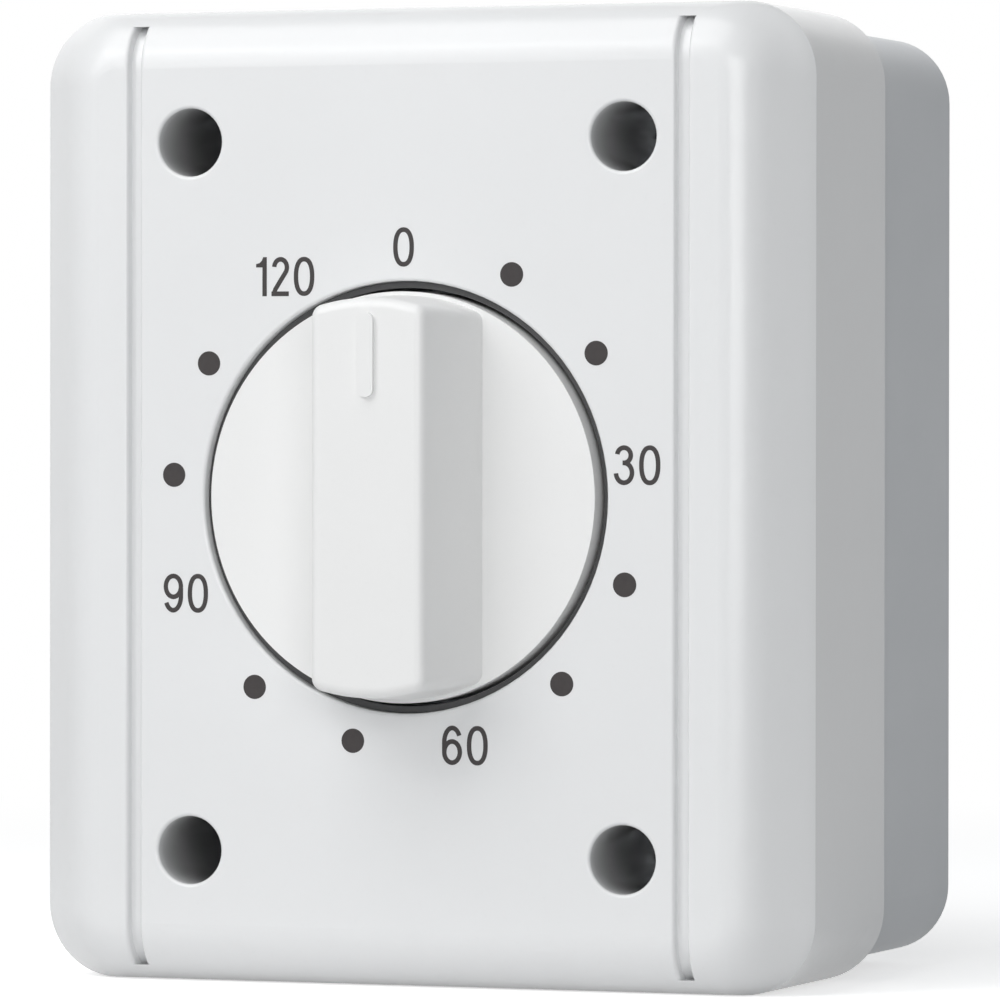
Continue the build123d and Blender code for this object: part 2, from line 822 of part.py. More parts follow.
# Slip clutch: the star washer and the snap ring that holds it on the spindle

with BuildPart() as clutch_washer:
    wheel_front = great_height + great_thickness
    inner_radius = spindle_radius + shaft_clearance
    with BuildSketch(Plane.XY):
        Polygon((washer_radius, -wheel_front), (washer_radius - washer_rim, -wheel_front),
                (inner_radius + washer_rim, -wheel_front - washer_rise + washer_strip),
                (inner_radius, -wheel_front - washer_rise + washer_strip),
                (inner_radius, -wheel_front - washer_rise),
                (inner_radius + washer_rim, -wheel_front - washer_rise),
                (washer_radius - washer_rim, -wheel_front - washer_strip),
                (washer_radius, -wheel_front - washer_strip), align=None)
    revolve(axis=Axis.Y)
    with BuildSketch(at(wheel_front)):
        with PolarLocations(washer_radius, washer_notches):
            Circle(washer_notch)
    extrude(amount=washer_rise, mode=Mode.SUBTRACT)

write(clutch_washer, "clutch_washer")

with BuildPart() as clutch_ring:
    rod(0, 0, snap_ring_radius, clutch_top - snap_ring_thickness, clutch_top)
    rod(0, 0, spindle_radius, clutch_top - snap_ring_thickness, clutch_top, Mode.SUBTRACT)
    bar(0, -spindle_radius, clip_width, 2 * spindle_radius, clutch_top - snap_ring_thickness,
        clutch_top, Mode.SUBTRACT)

write(clutch_ring, "clutch_ring")


def train_wheel(axis, teeth, module, first, low):
    """A train wheel on its shaft, lightened by round holes."""
    pitch_radius = module * teeth / 2
    with BuildPart() as wheel:
        with BuildSketch(at(low)):
            wheel_outline(axis, teeth, module, first)
            with Locations(axis):
                Circle(arbor_radius, mode=Mode.SUBTRACT)
                with PolarLocations(crossing_ring * pitch_radius, crossing_count):
                    Circle(crossing_hole * pitch_radius, mode=Mode.SUBTRACT)
        extrude(amount=wheel_thickness)
    return wheel


second_wheel = train_wheel(second_axis, second_teeth, second_module, third_direction, second_height)
write(second_wheel, "second_wheel")

third_wheel = train_wheel(third_axis, third_teeth, third_module, escape_direction, third_height)
write(third_wheel, "third_wheel")


def arbor(axis, leaves, module, towards, low, thickness):
    """A train shaft with its pinion, in mesh with a wheel that lies in the given direction."""
    with BuildPart() as shaft:
        rod(axis[0], axis[1], pivot_radius, frame_back + pivot_end, frame_top + plate_thickness - pivot_end)
        rod(axis[0], axis[1], arbor_radius, frame_inside + shaft_clearance, frame_top - shaft_clearance)
        with BuildSketch(at(low - pinion_overhang)):
            pinion_outline(axis, leaves, module, towards + 180 + 180 / leaves)
            with Locations(axis):
                Circle(arbor_radius)
        extrude(amount=thickness + 2 * pinion_overhang)
    return shaft


second_arbor = arbor(second_axis, second_leaves, great_module, second_direction,
                     great_height, great_thickness)
write(second_arbor, "second_arbor")

third_arbor = arbor(third_axis, third_leaves, second_module, third_direction,
                    second_height, wheel_thickness)
write(third_arbor, "third_arbor")

escape_arbor = arbor(escape_axis, escape_leaves, third_module, escape_direction,
                     third_height, wheel_thickness)
write(escape_arbor, "escape_arbor")


# Escape wheel: pointed teeth that lean forward

with BuildPart() as escape_wheel:
    tooth_angle = 360 / escape_teeth
    outline = []
    for tooth in range(escape_teeth):
        tip = pallet_direction + tooth * tooth_angle
        outline.append(around(escape_axis, escape_root_radius, tip - tooth_back * tooth_angle))
        outline.append(around(escape_axis, escape_radius, tip - tooth_tip * tooth_angle))
        outline.append(around(escape_axis, escape_radius, tip + tooth_tip * tooth_angle))
        outline.append(around(escape_axis, escape_root_radius, tip + tooth_front * tooth_angle))
    with BuildSketch(at(escape_height)):
        Polygon(*outline, align=None)
        with Locations(escape_axis):
            Circle(arbor_radius, mode=Mode.SUBTRACT)
    extrude(amount=escape_thickness)

write(escape_wheel, "escape_wheel")


# Pallet lever: two pins that reach down beside the escape wheel, and an inertia bar

pallet_pins = [around(escape_axis, pin_circle, pallet_direction + side * pin_angle)
               for side in (-1, 1)]

with BuildPart() as pallet_arbor:
    rod(pallet_axis[0], pallet_axis[1], pivot_radius, frame_back + pivot_end,
        frame_top + plate_thickness - pivot_end)
    rod(pallet_axis[0], pallet_axis[1], arbor_radius, frame_inside + shaft_clearance,
        frame_top - shaft_clearance)

write(pallet_arbor, "pallet_arbor")

with BuildPart() as pallet_lever:
    with BuildSketch(at(lever_height)):
        with BuildLine():
            Polyline(pallet_pins[0], pallet_axis, pallet_pins[1])
        trace(line_width=2 * arbor_radius)
        with Locations(*pallet_pins, pallet_axis):
            Circle(2 * arbor_radius)
        with Locations(Location((pallet_axis[0], pallet_axis[1], 0), (0, 0, pallet_direction + 90))):
            Rectangle(bar_length, bar_width)
        with Locations(pallet_axis):
            Circle(arbor_radius, mode=Mode.SUBTRACT)
    extrude(amount=lever_thickness)
    for pin in pallet_pins:
        rod(pin[0], pin[1], pin_radius, escape_height - lever_gap, lever_height)

write(pallet_lever, "pallet_lever")


# Cam on the spindle's tail: the contact leaf's nose rests in its notch at 0

with BuildPart() as cam_disc:
    rod(0, 0, cam_radius, cam_height, cam_height + cam_thickness)
    bar(cam_radius, 0, 2 * notch_depth, 2 * notch_half_width, cam_height,
        cam_height + cam_thickness, Mode.SUBTRACT)
    rod(0, 0, 2 * spindle_tail_radius, cam_height - plate_thickness, cam_height)
    rod(0, 0, spindle_tail_radius, cam_height - plate_thickness, cam_height + cam_thickness,
        Mode.SUBTRACT)

write(cam_disc, "cam_disc")


# Contacts

with BuildPart() as moving_contact:
    with BuildSketch(at(leaf_height)):
        with BuildLine():
            Polyline((leaf_x, -strip_end), (leaf_x, -nose_half_width), (leaf_x - nose_reach, 0),
                     (leaf_x, nose_half_width), (leaf_x, leaf_end))
        trace(line_width=leaf_thickness)
    extrude(amount=leaf_width)
    with BuildSketch(Plane.YZ.offset(leaf_x + leaf_thickness / 2)):
        with Locations((-leaf_height - leaf_width / 2, contact_z)):
            Circle(contact_radius)
    extrude(amount=contact_height)

write(moving_contact, "moving_contact")

fixed_x = leaf_x + leaf_thickness + 2 * contact_height + contact_gap

with BuildPart() as fixed_contact:
    bar(fixed_x, (contact_z - contact_radius + strip_end) / 2, leaf_thickness,
        strip_end - contact_z + contact_radius, leaf_height, leaf_height + leaf_width)
    with BuildSketch(Plane.YZ.offset(fixed_x - leaf_thickness / 2)):
        with Locations((-leaf_height - leaf_width / 2, contact_z)):
            Circle(contact_radius)
    extrude(amount=-contact_height)

write(fixed_contact, "fixed_contact")

link_height = base_inside + terminal_height / 2 - link_width / 2

with BuildPart() as neutral_link:
    bar(-terminal_x, 0, link_thickness, 2 * strip_end, link_height, link_height + link_width)

write(neutral_link, "neutral_link")


# Switch base: a moulded tray with a shelf for two terminals at each end

with BuildPart() as switch_base:
    slab(base_width, base_height, base_wall, base_back, frame_back)
    slab(shelf_width, shelf_length, base_wall, base_back, base_inside)
    slab(base_width - 2 * base_wall, base_height - 2 * base_wall, base_wall / 2,
         base_inside, frame_back, Mode.SUBTRACT)

    # Walls beside and between the terminals
    shelf_run = (shelf_length - base_height) / 2
    shelf_middle = (shelf_length + base_height) / 4
    for end in (-shelf_middle, shelf_middle):
        for wall_x in (-(shelf_width - shelf_wall) / 2, 0, (shelf_width - shelf_wall) / 2):
            bar(wall_x, end, shelf_wall, shelf_run, base_inside, base_inside + shelf_wall_height)

    # Tubes for the rivets, and the rib behind the fixed contact
    for z in (-rivet_z, rivet_z):
        rod(0, z, rivet_boss_radius, base_inside, frame_back)
        rod(0, z, rivet_radius + thread_clearance, base_back, frame_back, Mode.SUBTRACT)
    rib_low = fixed_x + leaf_thickness / 2
    bar(rib_low + shelf_wall / 2, contact_z, shelf_wall, 2 * contact_radius, base_inside,
        leaf_height + leaf_width)

    # Slots where the strips pass the tray's end walls
    wall_middle = (base_height - base_wall) / 2
    slot = 2 * strip_clearance
    bar(leaf_x, -wall_middle, leaf_thickness + slot, base_wall, leaf_height - strip_clearance,
        frame_back, Mode.SUBTRACT)
    bar(fixed_x, wall_middle, leaf_thickness + slot, base_wall, leaf_height - strip_clearance,
        frame_back, Mode.SUBTRACT)
    for end in (-wall_middle, wall_middle):
        bar(-terminal_x, end, link_thickness + slot, base_wall, link_height - strip_clearance,
            frame_back, Mode.SUBTRACT)

write(switch_base, "switch_base")


with BuildPart() as base_rivets:
    for z in (-rivet_z, rivet_z):
        rod(0, z, rivet_radius, base_back, frame_inside)
        rod(0, z, rivet_head_radius, base_back - rivet_head_height, base_back)
        rod(0, z, rivet_head_radius, frame_inside, frame_inside + rivet_head_height)

write(base_rivets, "base_rivets")


# Terminals

terminal_middle = strip_end + terminal_length / 2
wire_hole_height = base_inside + terminal_floor + terminal_hole

with BuildPart() as terminal_blocks:
    with BuildSketch(at(base_inside)):
        with GridLocations(2 * terminal_x, 2 * terminal_middle, 2, 2):
            Rectangle(terminal_width, terminal_length)
    extrude(amount=terminal_height)
    with BuildSketch(Plane.XY.offset(-terminal_middle - terminal_length / 2)):
        with Locations((-terminal_x, -wire_hole_height), (terminal_x, -wire_hole_height)):
            Circle(terminal_hole)
    extrude(amount=2 * terminal_middle + terminal_length, mode=Mode.SUBTRACT)
    with BuildSketch(at(wire_hole_height)):
        with GridLocations(2 * terminal_x, 2 * terminal_middle, 2, 2):
            Circle(terminal_screw_radius + thread_clearance)
    extrude(amount=terminal_top - wire_hole_height, mode=Mode.SUBTRACT)

write(terminal_blocks, "terminal_blocks")

with BuildPart() as terminal_screws:
    with BuildSketch(at(wire_hole_height + terminal_hole)):
        with GridLocations(2 * terminal_x, 2 * terminal_middle, 2, 2):
            Circle(terminal_screw_radius)
    extrude(amount=terminal_top - wire_hole_height - terminal_hole)
    with BuildSketch(at(terminal_top)):
        with GridLocations(2 * terminal_x, 2 * terminal_middle, 2, 2):
            Circle(terminal_screw_head_radius)
    extrude(amount=terminal_screw_head_height)
    with BuildSketch(at(terminal_top + terminal_screw_head_height - driver_slot_depth)):
        with GridLocations(2 * terminal_x, 2 * terminal_middle, 2, 2):
            Rectangle(2 * terminal_screw_head_radius, driver_slot_width)
    extrude(amount=driver_slot_depth, mode=Mode.SUBTRACT)

write(terminal_screws, "terminal_screws")
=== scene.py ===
import json
import math

import bmesh
import bpy
from mathutils import Matrix, Vector
from mathutils.geometry import delaunay_2d_cdt

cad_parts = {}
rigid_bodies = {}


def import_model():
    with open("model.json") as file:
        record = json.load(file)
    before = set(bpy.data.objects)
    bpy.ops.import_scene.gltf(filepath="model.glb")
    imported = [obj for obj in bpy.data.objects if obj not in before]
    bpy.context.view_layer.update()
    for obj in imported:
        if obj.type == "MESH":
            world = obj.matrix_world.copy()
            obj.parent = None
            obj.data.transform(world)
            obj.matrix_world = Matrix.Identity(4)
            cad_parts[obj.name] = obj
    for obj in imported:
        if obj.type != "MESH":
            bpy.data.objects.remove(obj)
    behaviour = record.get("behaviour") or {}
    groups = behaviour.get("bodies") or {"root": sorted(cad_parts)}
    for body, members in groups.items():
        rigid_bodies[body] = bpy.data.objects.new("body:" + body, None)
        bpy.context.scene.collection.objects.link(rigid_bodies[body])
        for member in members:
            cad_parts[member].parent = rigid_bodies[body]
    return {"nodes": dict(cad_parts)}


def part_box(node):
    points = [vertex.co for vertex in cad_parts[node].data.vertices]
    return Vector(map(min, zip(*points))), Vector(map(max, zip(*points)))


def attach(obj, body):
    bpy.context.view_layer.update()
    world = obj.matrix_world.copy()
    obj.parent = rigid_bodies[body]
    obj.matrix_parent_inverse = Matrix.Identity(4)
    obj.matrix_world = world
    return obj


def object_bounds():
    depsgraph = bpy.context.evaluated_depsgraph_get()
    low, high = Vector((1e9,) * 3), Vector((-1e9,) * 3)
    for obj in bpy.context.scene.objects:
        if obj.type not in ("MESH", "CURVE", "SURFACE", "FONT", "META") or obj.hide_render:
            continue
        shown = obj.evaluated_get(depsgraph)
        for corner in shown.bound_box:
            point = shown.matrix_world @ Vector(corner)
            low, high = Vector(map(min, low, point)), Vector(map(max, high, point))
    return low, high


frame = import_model()
cad_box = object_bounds()

bl_info = {
    "name": "Timer switch finishes",
    "version": (1, 0, 0),
    "blender": (4, 5, 0),
    "location": "3D View > Sidebar > Timer switch",
    "description": "Dial print, fasteners, finishes and studio for a surface-mounted timer switch",
    "category": "Object",
}

MM = 0.001
MICRON = 0.000001
FACE_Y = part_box("front_cover")[0].y

# The screw wells: the head's radius, the well's soft edge, and how deep the shade painted on its walls
# sets in and fades to grey-black

SCREW_HEAD = 2.5 * MM
WELL_EDGE = (2.83 * MM, 2.93 * MM)
WELL_SHADE_START = 1.3 * MM
WELL_SHADE_FADE = 6.0 * MM

# How far behind the knob's front a hand still polishes it, from where it starts to fade

GRIP_HELD = (1.0 * MM, 8.0 * MM)

# Every third mark of the dial carries a number

MARKS_PER_NUMBER = 3

# The studio, in metres: the camera's place, the floor's reach and where it fades to white

CAMERA_PLACE = (0.2106, -0.5773, 0.0048)
FLOOR_RADIUS = 0.45
FLOOR_FADE = (0.10, 0.27)

# How much of the floor's white shows in its shadow, and the colour of the even light

FLOOR_LIFT = 0.62
FILL_COLOUR = (0.84, 0.93, 1.0)

# Each lamp's side and place, in metres

LAMPS = {
    "key": (0.35, (-0.35, -0.55, 0.30)),
    "top": (0.40, (-0.10, -0.24, 0.36)),
    "side": (0.30, (0.28, -0.60, 0.125)),
    "back": (1.40, (-0.50, 0.95, 0.30)),
}


# Sizes and colours that a user would change

class DialSizes(bpy.types.PropertyGroup):
    """The printed scale round the knob."""
    ring_radius: bpy.props.FloatProperty(
        name="Ring radius", description="From the knob's axis to the middle of the print",
        default=20.0 * MM, unit="LENGTH")
    step_angle: bpy.props.FloatProperty(
        name="Step angle", description="Turn of the knob from one mark to the next",
        default=math.radians(27.5), subtype="ANGLE")
    steps: bpy.props.IntProperty(
        name="Steps", description="Marks after the zero", default=12, min=3)
    minutes: bpy.props.IntProperty(
        name="Minutes", description="Time from one number to the next", default=30)
    dot_radius: bpy.props.FloatProperty(
        name="Dot radius", description="Radius of one printed dot", default=0.98 * MM, unit="LENGTH")
    number_height: bpy.props.FloatProperty(
        name="Number height", description="Height of a digit", default=3.15 * MM, unit="LENGTH")
    number_gap: bpy.props.FloatProperty(
        name="Number gap", description="Room between two digits", default=0.41 * MM, unit="LENGTH")
    number_shift: bpy.props.FloatProperty(
        name="Number shift", description="How much further out the numbers past the first step stand",
        default=0.45 * MM, unit="LENGTH")
    ink_thickness: bpy.props.FloatProperty(
        name="Ink thickness", description="How far the ink stands out of the face",
        default=0.015 * MM, unit="LENGTH")
    ink: bpy.props.FloatVectorProperty(
        name="Ink", description="Colour of the print", default=(0.036, 0.031, 0.031),
        subtype="COLOR", size=3)


class ShellColours(bpy.types.PropertyGroup):
    """Colours of the moulded and rubber pieces, and of the shade painted into the cover's screw wells.
    """
    cover: bpy.props.FloatVectorProperty(
        name="Cover", description="Colour of the front cover", default=(0.80, 0.805, 0.81),
        subtype="COLOR", size=3)
    box: bpy.props.FloatVectorProperty(
        name="Rear box", description="Colour of the rear box", default=(0.605, 0.627, 0.653),
        subtype="COLOR", size=3)
    knob: bpy.props.FloatVectorProperty(
        name="Knob", description="Colour of the knob", default=(0.84, 0.84, 0.835),
        subtype="COLOR", size=3)
    # Painted shade: these two colours stand in for the shade down the cover's screw wells, grey just
    # inside and grey-black deep down
    well: bpy.props.FloatVectorProperty(
        name="Screw well", description="Colour deep in a screw well", default=(0.030, 0.028, 0.027),
        subtype="COLOR", size=3)
    well_mouth_shade: bpy.props.FloatVectorProperty(
        name="Well mouth", description="Colour just inside a screw well", default=(0.70, 0.705, 0.71),
        subtype="COLOR", size=3)
    rubber: bpy.props.FloatVectorProperty(
        name="Rubber", description="Colour of the grommets", default=(0.60, 0.60, 0.59),
        subtype="COLOR", size=3)
    seal: bpy.props.FloatVectorProperty(
        name="Seal", description="Colour of the seal and the gasket", default=(0.085, 0.085, 0.087),
        subtype="COLOR", size=3)
    cam: bpy.props.FloatVectorProperty(
        name="Cam", description="Colour of the cam", default=(0.72, 0.70, 0.62),
        subtype="COLOR", size=3)
    base: bpy.props.FloatVectorProperty(
        name="Switch base", description="Colour of the tray that holds the contacts",
        default=(0.045, 0.042, 0.04), subtype="COLOR", size=3)


class MetalColours(bpy.types.PropertyGroup):
    """Colours of the metal pieces."""
    steel: bpy.props.FloatVectorProperty(
        name="Steel", description="Bare steel", default=(0.52, 0.52, 0.53), subtype="COLOR", size=3)
    plating: bpy.props.FloatVectorProperty(
        name="Plating", description="Zinc plating", default=(0.62, 0.64, 0.67), subtype="COLOR", size=3)
    brass: bpy.props.FloatVectorProperty(
        name="Brass", description="Clockwork brass", default=(0.80, 0.60, 0.28), subtype="COLOR", size=3)
    bronze: bpy.props.FloatVectorProperty(
        name="Bronze", description="Contact bronze", default=(0.72, 0.45, 0.28), subtype="COLOR", size=3)
    temper: bpy.props.FloatVectorProperty(
        name="Temper", description="Blue bands of the tempered spring", default=(0.10, 0.13, 0.22),
        subtype="COLOR", size=3)


class StageSettings(bpy.types.PropertyGroup):
    """Camera and studio light."""
    yaw: bpy.props.FloatProperty(
        name="Yaw", description="How far the camera stands to the right of the dial's axis",
        default=math.radians(20.77), subtype="ANGLE")
    pitch: bpy.props.FloatProperty(
        name="Pitch", description="How far the camera looks down", default=math.radians(0.5),
        subtype="ANGLE")
    roll: bpy.props.FloatProperty(
        name="Roll", description="Turn of the picture", default=math.radians(0.06), subtype="ANGLE")
    lens: bpy.props.FloatProperty(
        name="Lens", description="Focal length in millimetres", default=258.4)
    key_power: bpy.props.FloatProperty(name="Key light", description="Watts", default=1.0)
    top_power: bpy.props.FloatProperty(name="Top light", description="Watts", default=1.12)
    side_power: bpy.props.FloatProperty(name="Side light", description="Watts", default=1.2)
    back_power: bpy.props.FloatProperty(name="Back light", description="Watts", default=2.2)
    fill: bpy.props.FloatProperty(
        name="Fill", description="Strength of the light from all round", default=0.1)


# Node building

# A Mix node's colour sockets go by their place, because its number sockets have the same names

MIX_LOW, MIX_HIGH, MIX_RESULT = 6, 7, 2


class Signal:
    """A node's outgoing socket that takes part in sums."""

    def __init__(self, tree, socket):
        self.tree = tree
        self.socket = socket

    def combine(self, operation, *others):
        """A Math node on this socket and others."""
        return self.tree.add("ShaderNodeMath", {"operation": operation},
                             dict(enumerate((self, *others))))

    def __add__(self, other):
        return self.combine("ADD", other)

    __radd__ = __add__

    def __sub__(self, other):
        return self.combine("SUBTRACT", other)

    def __rsub__(self, other):
        return self * -1.0 + other

    def __mul__(self, other):
        return self.combine("MULTIPLY", other)

    __rmul__ = __mul__

    def __mod__(self, other):
        return self.combine("MODULO", other)

    def __pow__(self, other):
        return self.combine("POWER", other)

    def __rpow__(self, other):
        return self.tree.add("ShaderNodeMath", {"operation": "POWER"}, {0: other, 1: self})

    def __abs__(self):
        return self.combine("ABSOLUTE")

    def ramp(self, low, high):
        """0 below low and 1 above high, with a soft run between."""
        return self.tree.add("ShaderNodeMapRange", {"interpolation_type": "SMOOTHSTEP"},
                             {"Value": self, "From Min": low, "From Max": high})


class Tree:
    """A node tree in the making, for a finish, the background or a rule."""

    def __init__(self, nodes):
        self.tree = nodes
        nodes.nodes.clear()

    def add(self, kind, settings=None, sockets=None, output=0):
        """One node: its settings first, then the values or links of its sockets."""
        node = self.tree.nodes.new(kind)
        for name, value in (settings or {}).items():
            setattr(node, name, value)
        for key, value in (sockets or {}).items():
            if isinstance(value, Signal):
                self.tree.links.new(value.socket, node.inputs[key])
            else:
                node.inputs[key].default_value = value
        return Signal(self, node.outputs[output]) if node.outputs else None

    def shown(self):
        """1 for what is seen, straight, mirrored or through glass, and 0 for what only lights."""
        seen, mirrored, through = [self.add("ShaderNodeLightPath", output=ray) for ray in
                                   ("Is Camera Ray", "Is Glossy Ray", "Is Transmission Ray")]
        return seen.combine("MAXIMUM", mirrored).combine("MAXIMUM", through)


class Rule(Tree):
    """A geometry rule with named inputs, for what repeats."""

    def __init__(self, name, inputs):
        super().__init__(bpy.data.node_groups.new(name, "GeometryNodeTree"))
        sockets = self.tree.interface
        sockets.new_socket("Geometry", in_out="OUTPUT", socket_type="NodeSocketGeometry")
        for label, kind in inputs.items():
            sockets.new_socket(label, in_out="INPUT", socket_type=kind)
        self.given = {label: self.add("NodeGroupInput", output=label) for label in inputs}

    def made(self, name, geometry, material, values):
        """The rule's result, with its material, as one plain mesh object."""
        real = self.add("GeometryNodeRealizeInstances", None, {"Geometry": geometry})
        painted = self.add("GeometryNodeSetMaterial", None,
                           {"Geometry": real, "Material": self.given[material]})
        self.add("NodeGroupOutput", None, {"Geometry": painted})
        carrier = bpy.data.objects.new(name, bpy.data.meshes.new(name))
        bpy.context.scene.collection.objects.link(carrier)
        modifier = carrier.modifiers.new("rule", "NODES")
        modifier.node_group = self.tree
        for item in self.tree.interface.items_tree:
            if item.in_out == "INPUT":
                modifier[item.identifier] = values[item.name]
        return finished_mesh(carrier, name)


class Finish(Tree):
    """One procedural finish for one or more pieces."""

    def __init__(self, name):
        self.material = bpy.data.materials.new(name)
        self.material.use_nodes = True
        super().__init__(self.material.node_tree)

    def place(self, centre=(0.0, 0.0, 0.0), scale=(1.0, 1.0, 1.0)):
        """Object coordinates about a centre, scaled along each axis."""
        coordinates = self.add("ShaderNodeTexCoord", output="Object")
        moved = self.add("ShaderNodeVectorMath", {"operation": "SUBTRACT"},
                         {0: coordinates, 1: centre})
        return self.add("ShaderNodeVectorMath", {"operation": "MULTIPLY"}, {0: moved, 1: scale})

    def axes(self, centre=(0.0, 0.0, 0.0)):
        """The three object coordinates about a centre, as numbers."""
        place = self.place(centre)
        return [self.add("ShaderNodeSeparateXYZ", None, {0: place}, output=axis)
                for axis in range(3)]

    def noise(self, place, scale, detail=2.0, roughness=0.5):
        """Soft noise from 0 to 1."""
        return self.add("ShaderNodeTexNoise", None, {
            "Vector": place, "Scale": scale, "Detail": detail, "Roughness": roughness})

    def colour(self, factor, low, high):
        """A colour between two others."""
        return self.add("ShaderNodeMix", {"data_type": "RGBA"}, {
            "Factor": factor, MIX_LOW: opaque(low), MIX_HIGH: opaque(high)}, output=MIX_RESULT)

    def about(self, middle, wave, spread):
        """A value that noise moves evenly to both sides of its middle."""
        return wave * spread + (middle - spread / 2)

    def relief(self, height, distance, under=None):
        """A bump of a real height in metres."""
        sockets = {"Height": height, "Distance": distance, "Strength": 1.0}
        if under is not None:
            sockets["Normal"] = under
        return self.add("ShaderNodeBump", None, sockets)

    def surface(self, **sockets):
        """The shader itself. Underscores in a name stand for spaces."""
        named = {name.replace("_", " "): value for name, value in sockets.items()}
        return self.ended(self.add("ShaderNodeBsdfPrincipled", None, named))

    def ended(self, shader):
        """The material, with its shader led out."""
        self.add("ShaderNodeOutputMaterial", None, {"Surface": shader})
        return self.material


def opaque(colour):
    """A colour with full alpha, or a link as it is."""
    return colour if isinstance(colour, Signal) else (*colour[:3], 1.0)


def shade(colour, factor):
    """A colour made darker or lighter."""
    return tuple(min(part * factor, 1.0) for part in colour[:3])


def moulded_plastic(name, colour, roughness, peel=1.0):
    """Moulded plastic: faint flow clouds, an uneven gloss and a fine skin."""
    finish = Finish(name)
    place = finish.place()
    cloud = finish.noise(place, scale=45.0, detail=3.0)
    speck = finish.noise(place, scale=2600.0, detail=2.0).ramp(0.60, 0.78)
    tint = finish.colour(cloud, shade(colour, 0.975), shade(colour, 1.02))
    tint = finish.colour(speck * 0.05, tint, shade(colour, 0.75))
    gloss = finish.noise(place, scale=160.0, detail=3.0)
    skin = finish.noise(place, scale=700.0, detail=2.0)
    grain = finish.noise(place, scale=5200.0, detail=2.0)
    bump = finish.relief(skin, 4.0 * MICRON * peel)
    bump = finish.relief(grain, 0.9 * MICRON * peel, bump)
    return finish, tint, finish.about(roughness, gloss, 0.10), bump


def moulded_finish(name, colour, roughness, peel=1.0):
    """A plain moulded piece."""
    finish, tint, gloss, bump = moulded_plastic(name, colour, roughness, peel)
    return finish.surface(Base_Color=tint, Roughness=gloss, Normal=bump, IOR=1.42)


def cover_finish_with_well_shade(colours):
    """The glossy cover, with shade painted down its four screw wells: grey just inside the mouth,
    grey-black deeper down.
    """
    finish, tint, gloss, bump = moulded_plastic("cover_gloss", colours.cover, 0.24)
    low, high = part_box("cover_screws")
    well_x = (high.x - low.x) / 2 - SCREW_HEAD
    well_z = (high.z - low.z) / 2 - SCREW_HEAD
    x, y, z = finish.axes()
    aside = abs(x) - well_x
    above = abs(z) - well_z
    reach = (aside * aside + above * above) ** 0.5
    # Painted shade: inside a well's edge the colour darkens with depth below the face, in place of the
    # shade down the well
    in_well = 1.0 - reach.ramp(*WELL_EDGE)
    depth = y - FACE_Y
    mouth = depth.ramp(0.0, WELL_SHADE_START)
    well_shade_fade = math.e ** (depth * (-1.0 / WELL_SHADE_FADE))
    well_shade = finish.colour(well_shade_fade, colours.well, colours.well_mouth_shade)
    tint = finish.colour(in_well * mouth, tint, well_shade)
    return finish.surface(Base_Color=tint, Roughness=gloss, Normal=bump, IOR=1.46,
                          Coat_Weight=0.05, Coat_Roughness=0.10)


def knob_finish(colours):
    """The knob, polished a little where fingers hold the grip."""
    finish, tint, gloss, bump = moulded_plastic("knob_satin", colours.knob, 0.38)
    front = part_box("knob")[0].y
    behind = finish.axes()[1] - front
    grip = 1.0 - behind.ramp(*GRIP_HELD)
    held = grip * finish.noise(finish.place(), scale=90.0, detail=3.0)
    return finish.surface(Base_Color=tint, Roughness=gloss - held * 0.05, Normal=bump, IOR=1.48)


def rubber_finish(name, colour, roughness):
    """Rubber: a dull fine-grained skin with a trace of mould powder."""
    finish = Finish(name)
    place = finish.place()
    powder = finish.noise(place, scale=380.0, detail=4.0).ramp(0.45, 0.75)
    tint = finish.colour(powder * 0.25, shade(colour, 0.92), shade(colour, 1.6))
    grain = finish.noise(place, scale=4200.0, detail=3.0)
    swell = finish.noise(place, scale=500.0, detail=2.0)
    bump = finish.relief(grain, 6.0 * MICRON)
    bump = finish.relief(swell, 10.0 * MICRON, bump)
    return finish.surface(Base_Color=tint, Roughness=powder * 0.12 + roughness, Normal=bump, IOR=1.45)


def sheet_metal_finish(name, colour, roughness, along=(1.0, 1.0, 0.04)):
    """Rolled sheet: fine straight grain along one axis and a few scuffs."""
    finish = Finish(name)
    grain = finish.noise(finish.place(scale=along), scale=5200.0, detail=3.0)
    cloud = finish.noise(finish.place(), scale=120.0, detail=3.0)
    scuff = finish.noise(finish.place(scale=(0.3, 1.0, 1.0)), scale=900.0, detail=4.0).ramp(0.62, 0.72)
    tint = finish.colour(cloud, shade(colour, 0.90), shade(colour, 1.06))
    tint = finish.colour(scuff * 0.35, tint, shade(colour, 0.62))
    bump = finish.relief(grain, 2.5 * MICRON)
    gloss = finish.about(roughness, grain, 0.14) + finish.about(0.0, cloud, 0.08)
    return finish.surface(Base_Color=tint, Metallic=1.0, Roughness=gloss, Normal=bump)


def turned_metal_finish(name, colour, roughness, node, tarnish=0.2):
    """Turned metal: fine rings about the axis through the node's middle, and a little tarnish."""
    low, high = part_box(node)
    middle = (low + high) / 2
    finish = Finish(name)
    x, y, z = finish.axes((middle.x, 0.0, middle.z))
    radius = (x * x + z * z) ** 0.5
    turned = finish.add("ShaderNodeCombineXYZ", None, {0: radius, 1: y})
    rings = finish.noise(turned, scale=9000.0, detail=2.0)
    cloud = finish.noise(finish.place(), scale=260.0, detail=4.0)
    dull = cloud.ramp(0.48, 0.72) * tarnish
    tint = finish.colour(rings, shade(colour, 0.93), shade(colour, 1.05))
    tint = finish.colour(dull, tint, shade(colour, 0.55))
    bump = finish.relief(rings, 2.2 * MICRON)
    return finish.surface(Base_Color=tint, Metallic=1.0, Normal=bump,
                          Roughness=finish.about(roughness, rings, 0.12) + dull * 0.3)


